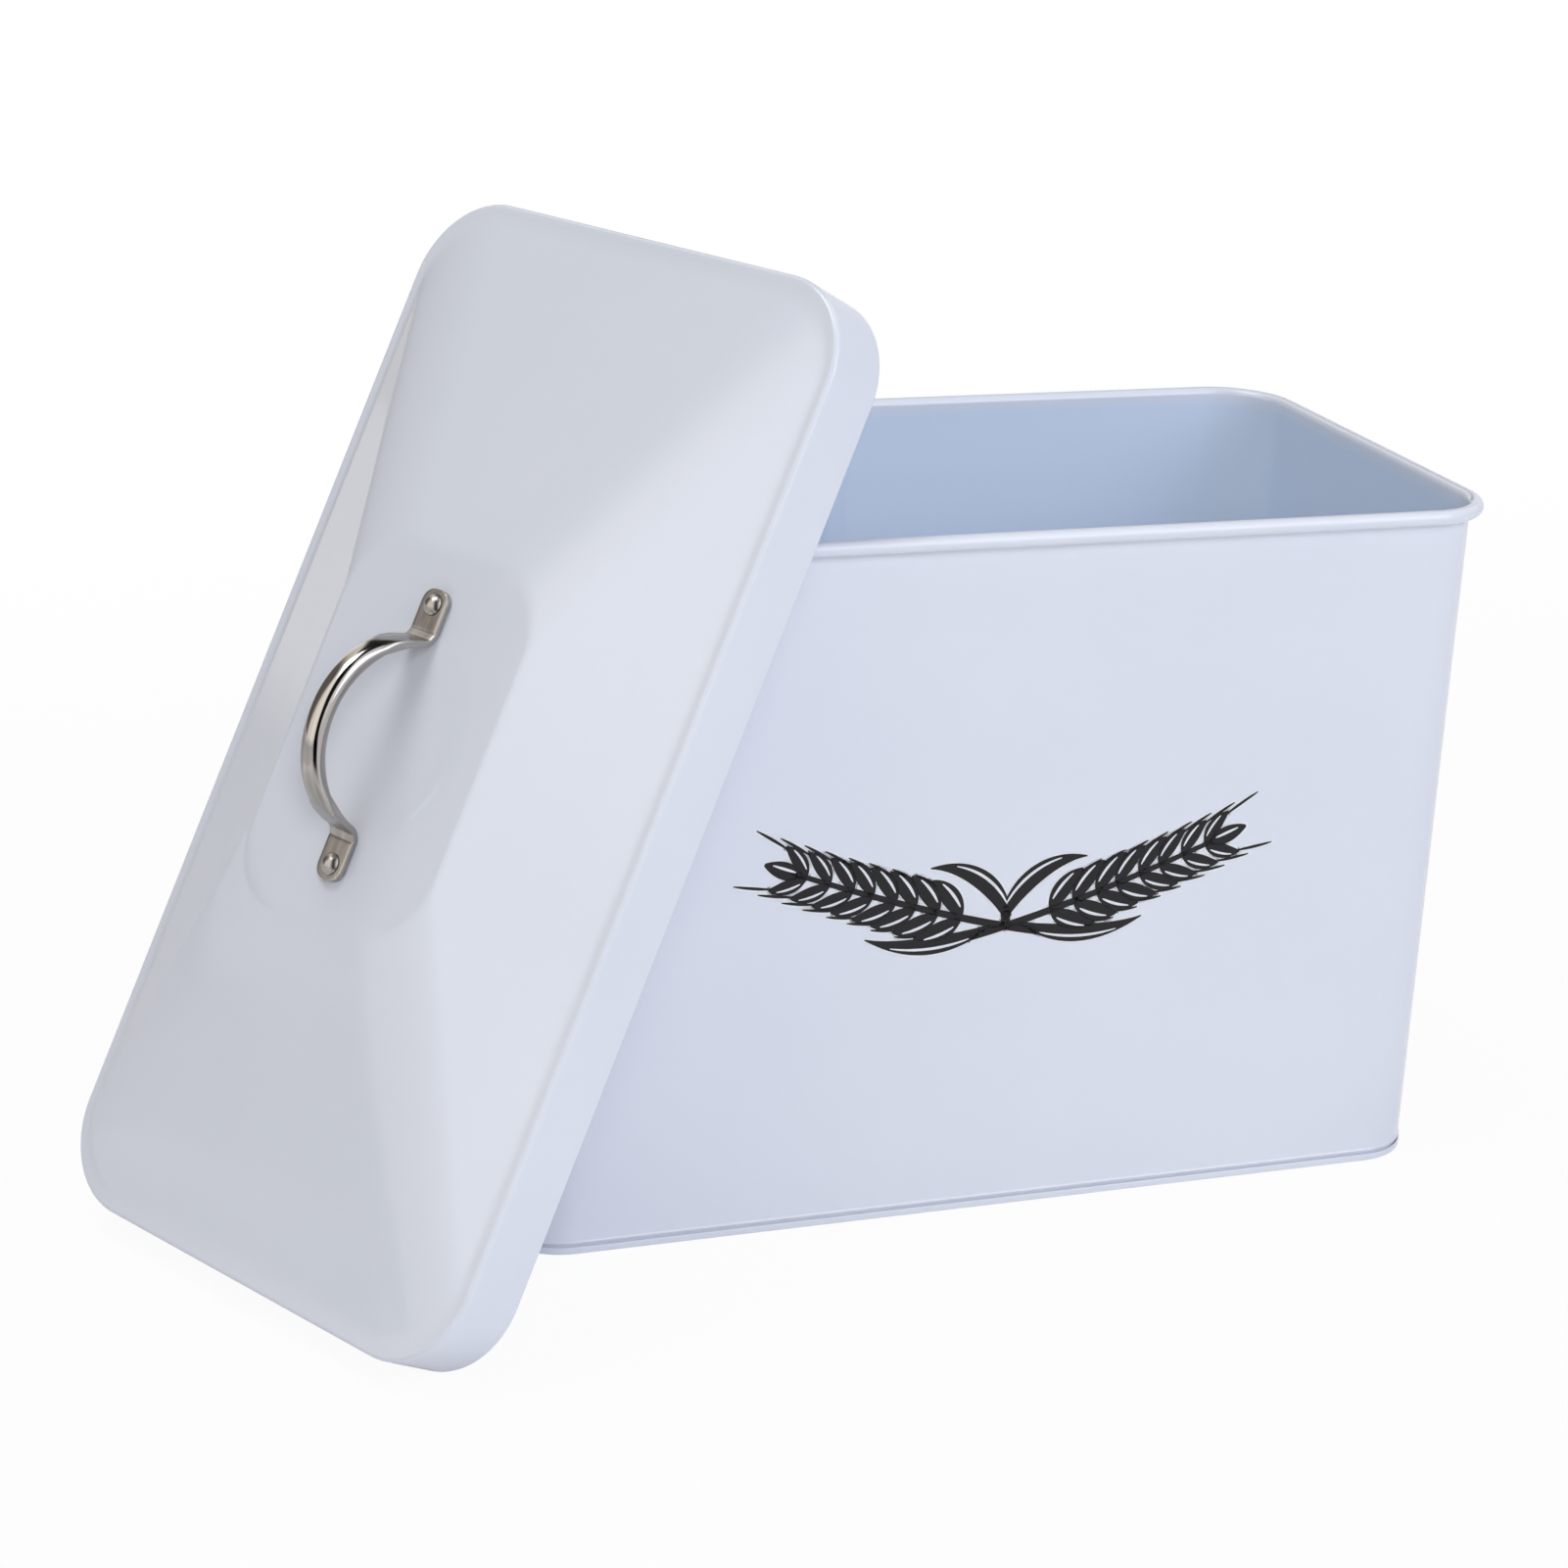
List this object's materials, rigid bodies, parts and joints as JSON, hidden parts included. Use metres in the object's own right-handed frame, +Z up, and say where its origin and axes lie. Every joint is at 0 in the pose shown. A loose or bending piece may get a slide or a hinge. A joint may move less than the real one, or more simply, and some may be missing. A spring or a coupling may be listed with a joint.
{
  "type": "bread bin",
  "caption": "Oblong sheet-steel bread bin with rounded corners, a rolled rim and a folded base seam. Its domed lid with an arched handle is off and leans on one corner of the box.",
  "frame": {"origin": "on the floor, under the middle of the box around the bin and the leaning lid together", "axes": "+Z up, +X along the bin's long side away from the lid, +Y from the bin's front wall to its back wall"},
  "size_m": [0.4576, 0.2622, 0.315],
  "materials": {
    "enamel": "glossy baked enamel, white with a cool blue cast",
    "nickel": "satin nickel plate, slightly warm"
  },
  "bodies": {
    "bin": {"bin_wall": "enamel", "bin_base": "enamel"},
    "lid": {"lid_shell": "enamel", "lid_handle": "nickel", "rivet_upper": "nickel", "rivet_lower": "nickel"}
  },
  "joints": [
    {"name": "lid_lift", "type": "slide", "parent": "bin", "child": "lid", "axis": [0, 0, 1], "range_m": [0, 0.24]}
  ]
}
